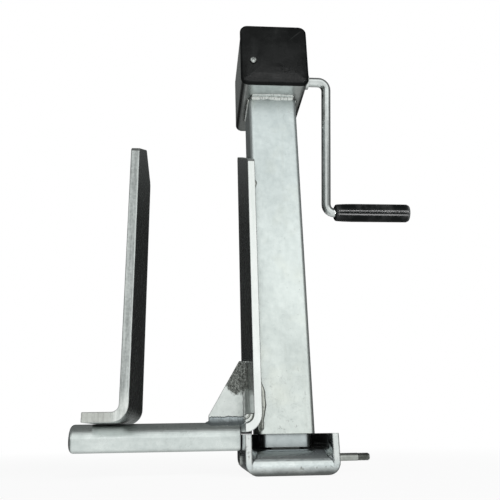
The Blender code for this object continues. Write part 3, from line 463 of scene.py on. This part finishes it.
LOOKS = (
    (tube_zinc, "outer_tube"),
    (leg_zinc, "inner_leg"),
    (housing_zinc, "gearbox_housing rear_plate"),
    (near_plate_zinc, "right_bracket"),
    (far_plate_zinc, "left_bracket"),
    (bar_zinc, "cradle_bar"),
    (gusset_zinc, "gusset"),
    (foot_zinc, "foot"),
    (cap_black, "end_cap"),
    (grip_black, "crank_grip grip_end_plug"),
    (rod_steel, "crank_rod"),
    (screw_zinc, "cap_screw bolt_ring crank_pin gear_pin pinion_pin grip_lock_washer"),
    (bolt_zinc, "foot_bolt"),
    (machined_steel, "drive_shaft lead_screw gear_spacer thrust_washer_upper thrust_washer_lower "
                     "thrust_ball_cage cap_screw_lug leg_lug bearing_plate"),
    (gear_iron, "bevel_gear bevel_pinion"),
    (bronze, "right_bush left_bearing_cup lead_nut"),
    (guide_black, "lower_guide leg_top_guide"),
)
for look, names in LOOKS:
    for name in names.split():
        piece = nodes[name]
        if piece.material_slots:
            for held in piece.material_slots:
                held.material = look
        else:
            piece.data.materials.append(look)


# ------------------------------------------------------------------ shaping tools
def wobble(*place):
    return noise.noise(Vector(place))


def uneven(amount, *place):
    """A factor that wanders about 1 by up to the amount."""
    return 1 + amount * wobble(*place)


def ease(distance, length):
    """Rises from 0.04 to 1 as a rounded nose over a length."""
    share = max(0.0, min(1.0, distance / length))
    return 0.04 + 0.96 * math.sqrt(1 - (1 - share) ** 2)


def ease_both(i, last, start, end):
    """Eases in and out along a row of stations, over the lengths start and end."""
    return ease(i, start) * ease(last - i, end)


def skin(name, rings, look, body="frame", slot="zinc_plate"):
    """A closed piece from a row of rings (working frame, mm), riding on a body."""
    build = bmesh.new()
    made = [[build.verts.new(row(*point)) for point in ring] for ring in rings]
    size = len(rings[0])
    for ring, following in zip(made, made[1:]):
        for j in range(size):
            k = (j + 1) % size
            build.faces.new((ring[j], ring[k], following[k], following[j]))
    build.faces.new(made[0][::-1])
    build.faces.new(made[-1])
    bmesh.ops.recalc_face_normals(build, faces=build.faces)
    mesh = bpy.data.meshes.new(name)
    build.to_mesh(mesh)
    build.free()
    mesh.shade_smooth()
    mesh.materials.append(look)
    obj = bpy.data.objects.new(name, mesh)
    scene.collection.objects.link(obj)
    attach(obj, body)


def bead(name, path, width, height, outward, seed, ripple=2.2, deep=0.9, lumpy=1.0):
    """A weld bead: a low half-round ridge along a path, with overlapping ripples.

    outward is the way it stands out; its underside sinks by deep into the parent metal."""
    rng = random.Random(seed)
    points = [Vector(point) for point in path]
    lengths = [0.0]
    for start, stop in zip(points, points[1:]):
        lengths.append(lengths[-1] + (stop - start).length)
    total = lengths[-1]
    count = max(12, int(total / 0.7))
    around = 11
    outward = Vector(outward).normalized()
    phase = rng.uniform(0, 6.28)
    offsets = [rng.uniform(-1, 1) for _ in range(count + 1)]
    narrow = 0.6 if deep < 1.5 else 0.25
    rings = []
    for i in range(count + 1):
        run = total * i / count
        k = max(j for j in range(len(lengths)) if lengths[j] <= run + 1e-9)
        k = min(k, len(points) - 2)
        share = (run - lengths[k]) / (lengths[k + 1] - lengths[k])
        middle = points[k].lerp(points[k + 1], share)
        along = (points[k + 1] - points[k]).normalized()
        if 0 < k and share < 0.5:
            before = (points[k] - points[k - 1]).normalized()
            along = before.lerp(along, 0.5 + share).normalized()
        side = outward.cross(along).normalized()
        stand = along.cross(side).normalized()
        wave = (run / ripple + phase) % 1.0
        step = 1 + lumpy * (0.22 * (1 - wave) ** 0.6 - 0.16 + 0.06 * offsets[i])
        wander = 0.10 * width * wobble(run * 0.21, seed * 7.7, 0)
        end = min(1.0, min(run, total - run) / (width * 0.55))
        end = math.sqrt(max(0.0, 1 - (1 - end) ** 2)) * 0.98 + 0.02
        half = width / 2 * (0.92 + 0.10 * step + 0.12 * wobble(run * 0.3, seed, 3)) * end
        rise = height * step * end
        ring = []
        for j in range(around):
            angle = math.pi * j / (around - 1)
            lump = uneven(0.10 * lumpy, run * 0.9, j * 0.8, seed * 3.1)
            ring.append(middle + side * (wander + half * math.cos(angle))
                        + stand * (rise * math.sin(angle) ** 0.85 * lump - 0.35 * end))
        low = middle - stand * deep * end
        ring.append(low + side * (wander - half * narrow))
        ring.append(low + side * (wander + half * narrow))
        rings.append(ring)
    skin(name, rings, weld_bright)


def fillet(name, stations, look, ripple=0.0, seed=1, full=0.18, **owner):
    """A hollow-faced fillet through stations.

    A station is the corner, the end on each of two walls, and a point buried behind each end;
    full pulls the face outward from the corner."""
    rings = []
    for i, station in enumerate(stations):
        corner, first, second, in_first, in_second = map(Vector, station)
        middle = corner + ((first - corner) + (second - corner)) * full
        ring = []
        for j in range(11):
            t = j / 10
            point = first * (1 - t) ** 2 + middle * (2 * t * (1 - t)) + second * t**2
            if ripple and 0 < j < 10:
                out = ((first + second) / 2 - corner).normalized()
                swell = wobble(i * 0.55, j * 0.35, seed * 5.3) + 0.5 * math.cos(i * 1.9 + 0.3 * j)
                point = point + out * ripple * swell
            ring.append(point)
        rings.append(ring + [in_second, in_first])
    skin(name, rings, look, **owner)


# ------------------------------------------------------------------ welds of tube and housing
HALF = 30.0  # half the width of the square tube
SEAM_Z = tube_top - 0.4
SIDE = HALF + 0.7


def front_path(*points):
    """Points given as x, distance ahead of the tube's front face, drop below the seam."""
    return [(x, -HALF - ahead, SEAM_Z - drop) for x, ahead, drop in points]


bead("weld_tube_front",
     front_path((-28.0, 0.9, 1.2), (-9, 1.3, 0.4), (10, 0.9, 1.0), (28.0, 1.2, 0.5)),
     width=6.0, height=2.3, outward=(0, -1, -0.6), seed=1, ripple=1.7, deep=2.0, lumpy=1.9)
bead("weld_tube_front_upper", front_path((-27.0, 4.6, -0.5), (4, 5.4, -0.5), (27.5, 4.4, -0.5)),
     width=4.4, height=1.4, outward=(0, -0.3, -1), seed=11, ripple=1.9, deep=0.7, lumpy=1.9)
# side, start and end (x, y), outward direction, seed
for label, start, stop, outward, seed in (
    ("right", (SIDE, -26), (SIDE, 26), (1, 0, -0.9), 2),
    ("back", (26, SIDE), (-26, SIDE), (0, 1, -0.9), 3),
    ("left", (-SIDE, 26), (-SIDE, -26), (-1, 0, -0.9), 4),
):
    bead(f"weld_tube_{label}", [(*start, SEAM_Z), (*stop, SEAM_Z)],
         width=5.2, height=2.0, outward=outward, seed=seed)

# ------------------------------------------------------------------ welds of gusset and bracket
PLATE_X = -30.3  # the face of the right bracket that meets the tube
BEND_OUT, BEND_IN = 16.8, 8.8  # radii of the bracket's bend
BEND_X, BEND_Z = PLATE_X - BEND_OUT, plate_lo.z + BEND_OUT
bar_y = (bar_lo.y + bar_hi.y) / 2
bar_z = (bar_lo.z + bar_hi.z) / 2
bar_radius = (bar_hi.z - bar_lo.z) / 2


def gusset_bar_weld(label, face_y, way, seed):
    """Along the gusset's foot on the round bar; way is -1 at its front face, 1 at its rear."""
    stations = []
    lead, count = 3.6, 60
    start, stop = gusset_lo.x - lead, gusset_hi.x - 3.4
    lean = math.degrees(math.asin((face_y - bar_y) / bar_radius))
    top = bar_z + math.sqrt(bar_radius**2 - (face_y - bar_y) ** 2)
    for i in range(count + 1):
        x = start + (stop - start) * i / count
        grow = ease(x - start, 9.0) * ease(stop - x, 2.5)
        rise = 6.6 * grow * (uneven(0.22, x * 0.16, seed, 1) + 0.05 * math.cos(x * 2.1))
        if x < gusset_lo.x:
            rise = min(rise, 0.8 + 1.4 * (x - start) / lead)
        turn = math.radians(lean + way * 30.0 * grow * uneven(0.12, x * 0.2, seed, 2))
        reach = bar_radius - 0.05
        on_bar = (x, bar_y + reach * math.sin(turn), bar_z + reach * math.cos(turn))
        stations.append(((x, face_y, top), (x, face_y + way * 0.12, top + rise), on_bar,
                         (x, face_y - way * 1.0, top + 0.4 * rise), (x, face_y, top - 2.0)))
    fillet(f"weld_gusset_bar_{label}", stations, weld_blue, ripple=0.22, seed=seed)


def gusset_plate_weld(label, face_y, way, seed):
    """Along the gusset's edge on the right bracket: round its bend, then straight up."""
    line = []  # x, z, and the x and z of the bracket face's normal
    for degrees in range(-52, 0, 6):
        cosine, sine = math.cos(math.radians(degrees)), math.sin(math.radians(degrees))
        line.append((BEND_X + BEND_IN * cosine, BEND_Z + BEND_IN * sine, -cosine, -sine))
    rise = gusset_hi.z - 2.0 - BEND_Z
    line += [(BEND_X + BEND_IN, BEND_Z + rise * i / 40, -1.0, 0.0) for i in range(41)]
    stations = []
    for i, (x, z, out_x, out_z) in enumerate(line):
        grow = ease_both(i, len(line) - 1, start=3.0, end=5.0)
        leg = 5.6 * grow * uneven(0.15, i * 0.35, seed, 4)
        ahead = 6.8 * grow * uneven(0.15, i * 0.35, seed, 5)
        stations.append((
            (x, face_y, z),
            (x + out_x * leg, face_y + way * 0.12, z + out_z * leg),
            (x + out_x * 0.12, face_y + way * ahead, z + out_z * 0.12),
            (x + out_x * 0.6 * leg, face_y - way * 0.8, z + out_z * 0.6 * leg),
            (x - out_x * 1.0, face_y + way * 0.4, z - out_z * 1.0)))
    fillet(f"weld_gusset_plate_{label}", stations, gusset_zinc, ripple=0.16, seed=seed + 4)


for face in (("front", gusset_lo.y, -1, 5), ("rear", gusset_hi.y, 1, 6)):
    gusset_bar_weld(*face)
    gusset_plate_weld(*face)


def plate_tube_weld(label, low, high, wide, seed):
    """The right bracket on the tube's front corner, between two heights."""
    stations = []
    count = int((high - low) / 1.1)
    for i in range(count + 1):
        z = low + (high - low) * i / count
        grow = ease(z - low, 4.0) * ease(high - z, 0.5 * (high - low))
        swell = 0.66 + 0.34 * math.sin(math.pi * min(1.0, (high - z) / (high - low) * 1.25))
        leg = wide * grow * swell * (uneven(0.10, z * 0.10, seed, 1) + 0.015 * math.cos(z * 2.4))
        stations.append((
            (PLATE_X + 0.1, -HALF, z),
            (PLATE_X + max(leg, 5.6 * grow), -HALF - 0.1, z),
            (PLATE_X + 0.1, -HALF - 8.0 * grow, z),
            (PLATE_X + 4.0 * grow, -HALF + 1.4, z),
            (PLATE_X - 0.8, -HALF - 0.5, z)))
    fillet(f"weld_plate_tube_{label}", stations, weld_straw, ripple=0.12, seed=seed, full=0.12)


plate_tube_weld("low", low=41.0, high=98.0, wide=9.8, seed=22)
plate_tube_weld("top", low=316.0, high=332.0, wide=7.4, seed=21)

STITCHES = ((58, 96), (150, 184), (236, 270), (330, 362))  # low and high z
for k, heights in enumerate(STITCHES):
    bead(f"weld_stitch_back_{k}", [(PLATE_X + 2.2, HALF + 0.9, z) for z in heights],
         width=6.2, height=2.0, outward=(0.2, 1, 0), seed=31 + k, deep=2.4)


def weld_scroll(k, reach, thick, front):
    """A curl of weld in the mouth of the bracket's bend."""
    rings = []
    for i in range(19):
        angle = math.radians(-100 + 110 * i / 18)
        grow = ease_both(i, 18, start=2.5, end=2.5) * (1 + 0.06 * math.cos(i * 1.7 + k))
        out = Vector((math.cos(angle), 0, math.sin(angle)))
        centre = Vector((BEND_X + reach * out.x, front, BEND_Z + reach * out.z))
        ring = []
        for j in range(14):
            turn = 2 * math.pi * j / 14
            ring.append(centre + out * (thick * grow * math.cos(turn))
                        + Vector((0, thick * grow * math.sin(turn), 0)))
        rings.append(ring)
    skin(f"weld_scroll_{k}", rings, weld_bright)


def weld_pad():
    """A pad of weld under the bracket's bend."""
    rings = []
    for i in range(15):
        x = -47.4 + 13.6 * i / 14
        roof = BEND_Z - math.sqrt(BEND_OUT**2 - (x - BEND_X) ** 2) + 0.9
        half = 6.4 * ease_both(i, 14, start=1.5, end=1.5)
        sole = plate_lo.z - 1.8 + 0.08 * math.cos(i * 2.1)
        outline = ((-half, roof), (-half, sole + 1.1), (-half * 0.8, sole + 0.25), (0, sole),
                   (half * 0.8, sole + 0.25), (half, sole + 1.1), (half, roof))
        rings.append([(x, y, z) for y, z in outline])
    skin("weld_bend_pad", rings, weld_straw)


weld_scroll(0, reach=6.5, thick=2.6, front=-71.8)
weld_scroll(1, reach=2.6, thick=2.2, front=-70.9)
weld_pad()
bead("weld_far_rear", [(left_hi.x - back, bar_y + 9.4, bar_hi.z - 3.2) for back in (42.0, 15.0)],
     width=5.0, height=1.6, outward=(0, 1, 0.8), seed=43, deep=2.0)

# ------------------------------------------------------------------ pressed radii of the foot
FOOT_HALF = 40.0
ROLL_Y, ROLL_Z = -62.0, 8.0  # where the rolled front begins
ROLL_DEEP, ROLL_TALL = 22.0, 15.6  # half axes of its elliptical profile


def foot_radius(label, way):
    """Softens the long top edge on one side of the foot; way is the sign of x."""
    line = []  # y, z, outward normal: round the rolled front, then straight back
    for i in range(25):
        angle = math.radians(168 - 78 * i / 24)
        cosine, sine = math.cos(angle), math.sin(angle)
        out = Vector((0, cosine / ROLL_DEEP, sine / ROLL_TALL)).normalized()
        line.append((ROLL_Y + ROLL_DEEP + ROLL_DEEP * cosine, ROLL_Z + ROLL_TALL * sine, out))
    for i in range(1, 13):
        line.append((ROLL_Y + ROLL_DEEP + 80.0 * i / 12, ROLL_Z + ROLL_TALL, Vector((0, 0, 1))))
    stations = []
    for i, (y, z, out) in enumerate(line):
        room = (y - ROLL_Y) / max(0.05, -out.y) if out.y < -0.01 else 99.0
        leg = min(5.6, 0.92 * room) * ease(len(line) - 1 - i, 1.5)
        corner = Vector((way * FOOT_HALF, y, z))
        side = Vector((way, 0, 0))
        stations.append((corner, corner - side * leg + out * 0.06,
                         corner + out * leg - side * 0.06,
                         corner - side * (leg * 0.5) - out * 0.8,
                         corner + side * 0.8 + out * leg * 0.5))
    fillet(f"foot_radius_{label}", stations, foot_zinc, full=0.12, body="foot", slot="zinc_foot")


foot_radius("left", -1)
foot_radius("right", 1)


# ------------------------------------------------------------------ floor
def floor_material():
    """Pale and matt; away from the object it fades into the backdrop, so no horizon shows."""
    mat = Shader("floor_pale")
    tone = mat.noise(scale=3.0, detail=3.0, rough=0.5)
    colour = mat.mix(tone, base=(0.90, 0.90, 0.90), over=(0.93, 0.93, 0.925))
    mat.finish(colour, rough=0.9, metal=0.0, specular=0.0)
    glow = mat.node("Emission", {"Color": (1, 1, 1, 1)}).outputs[0]
    away = mat.node("VectorMath", {0: mat.coord}, operation="LENGTH").outputs["Value"]
    share = mat.ramp(away, over=(0.2, 1.2), into=(0.92, 1.0), smooth=True)
    fade = mat.node("MixShader", {0: share, 1: mat.bsdf.outputs[0], 2: glow})
    mat.put(mat.out.inputs[0], fade.outputs[0])
    return mat.material


build = bmesh.new()
bmesh.ops.create_grid(build, x_segments=2, y_segments=2, size=30.0)
mesh = bpy.data.meshes.new("floor")
build.to_mesh(mesh)
build.free()
floor = bpy.data.objects.new("floor", mesh)
scene.collection.objects.link(floor)
floor.location = (0, 0, foot_lo.z - 0.0004)
mesh.materials.append(floor_material())
# the ground stays under the foot as the leg runs out
keep_under = floor.constraints.new("COPY_LOCATION")
keep_under.target = nodes["foot"]
keep_under.use_x = keep_under.use_y = False
keep_under.use_z = keep_under.use_offset = True
floor.visible_glossy = False

# ------------------------------------------------------------------ world
world = scene.world or bpy.data.worlds.new("world")
scene.world = world
world.use_nodes = True


def light_room(room):
    """The camera sees white; the metal mirrors a bright front, a pale floor and a dark back."""

    def soft(value, over, into=(0.0, 1.0)):
        return room.ramp(value, over, into, smooth=True)

    coord = room.node("TexCoord").outputs["Generated"]
    x, y, z = room.node("SeparateXYZ", {0: coord}).outputs
    # above the horizon: the bright front, the ceiling and the flanks
    ahead = room.times(y, -1.0)
    front = room.times(soft(ahead, over=(0.42, 0.88)), soft(z, over=(0.0, 0.8), into=(1.03, 0.79)))
    ceiling = soft(z, over=(0.34, 0.64), into=(0.016, 0.14))
    flanks = room.plus(soft(x, over=(0.64, 0.98), into=(0.0, 0.15)),
                       soft(x, over=(-0.95, -0.55), into=(0.15, 0.0)))
    above = room.plus(front, room.plus(ceiling, flanks))
    # below it: the floor behind and in front, dimmer to the sides
    depth = room.times(z, -1.0)
    floor_back = room.times(soft(y, over=(0.05, 0.9), into=(0.86, 0.42)),
                            soft(depth, over=(0.02, 0.42), into=(0.04, 1.0)))
    front_level, front_base = 0.78, 0.0
    floor_front = room.times(soft(ahead, over=(0.1, 0.6)), front_level)
    under = room.largest(floor_back, room.plus(floor_front, front_base))
    under = room.times(under, soft(room.magnitude(x), over=(0.34, 0.78), into=(1.0, 0.10)))
    is_under = soft(depth, over=(-0.03, 0.03))
    level = room.plus(room.times(above, room.minus(1.0, is_under)), room.times(under, is_under))

    felt = room.node("Background", {"Color": (0.96, 1.0, 0.985, 1), "Strength": level})
    seen = room.node("Background", {"Color": (1.0, 1.0, 1.0, 1), "Strength": 1.0})
    by_camera = room.node("LightPath").outputs["Is Camera Ray"]
    both = room.node("MixShader", {0: by_camera, 1: felt.outputs[0], 2: seen.outputs[0]})
    room.node("OutputWorld", {0: both.outputs[0]})


light_room(NodeTree(world.node_tree))


# ------------------------------------------------------------------ lights
def area(name, place, toward, size, power, size_y=None):
    data = bpy.data.lights.new(name, "AREA")
    data.energy = power
    data.size = size
    if size_y is not None:
        data.shape = "RECTANGLE"
        data.size_y = size_y
    made = bpy.data.objects.new(name, data)
    scene.collection.objects.link(made)
    made.location = place
    made.rotation_euler = (Vector(toward) - Vector(place)).to_track_quat("-Z", "Y").to_euler()
    return made


def strip(name, only, target, side, angle, distance, length, width, power):
    """A narrow soft strip in front, lighting the named nodes alone: the glint on a moulding.

    side is the X share of its direction, angle its height above the horizon in degrees."""
    flat = math.sqrt(1 - side * side)
    tilt = math.radians(angle)
    out = Vector((side, -flat * math.cos(tilt), flat * math.sin(tilt)))
    start = row(*target)
    place = start + out.normalized() * distance
    made = area(name, place, start, size=length, power=power, size_y=width)
    group = bpy.data.collections.new(name + "_takes")
    for node in only:
        group.objects.link(nodes[node])
    made.light_linking.receiver_collection = group
    made.visible_camera = False


centre = row(-20, 0, 250)
key = area("key", centre + Vector((0.9, -1.4, 2.0)), centre, size=1.6, power=26.0)
key.visible_glossy = False

GRIP, GRIP_AT = ["crank_grip", "grip_end_plug"], (140, 50, 320)
strip("grip_glint_high", GRIP, GRIP_AT, side=0.304, angle=7.2,
      distance=0.9, length=1.0, width=0.16, power=105.0)
strip("grip_glint_low", GRIP, GRIP_AT, side=0.304, angle=-42.0,
      distance=0.42, length=0.7, width=0.062, power=10.5)
strip("cap_glint", ["end_cap"], (0, -60, 462), side=0.132, angle=30.4,
      distance=1.0, length=0.34, width=0.035, power=1.0)

# ------------------------------------------------------------------ camera
CAMERA_AT = (-94.569, -629.917, 39.281)
PITCH, YAW, ROLL = 0.3219, 0.07068, 0.01653  # radians: up, to the right, about the view

lens = bpy.data.cameras.new("camera")
lens.sensor_width = 36.0
lens.lens = 39.746
lens.shift_x = 0.03188
lens.clip_start = 0.01
lens.clip_end = 200.0
camera = bpy.data.objects.new("camera", lens)
scene.collection.objects.link(camera)
level_share = math.cos(PITCH)
forward = Vector((math.sin(YAW) * level_share, math.cos(YAW) * level_share, math.sin(PITCH)))
right = Vector((math.cos(YAW), -math.sin(YAW), 0.0))
down = forward.cross(right)
rolled_right = right * math.cos(ROLL) + down * math.sin(ROLL)
rolled_down = -right * math.sin(ROLL) + down * math.cos(ROLL)
turn = Matrix((rolled_right, -rolled_down, -forward)).transposed().to_4x4()
camera.matrix_world = Matrix.Translation(row(*CAMERA_AT)) @ turn
scene.camera = camera
scene.view_settings.view_transform = "Standard"
scene.view_settings.look = "None"
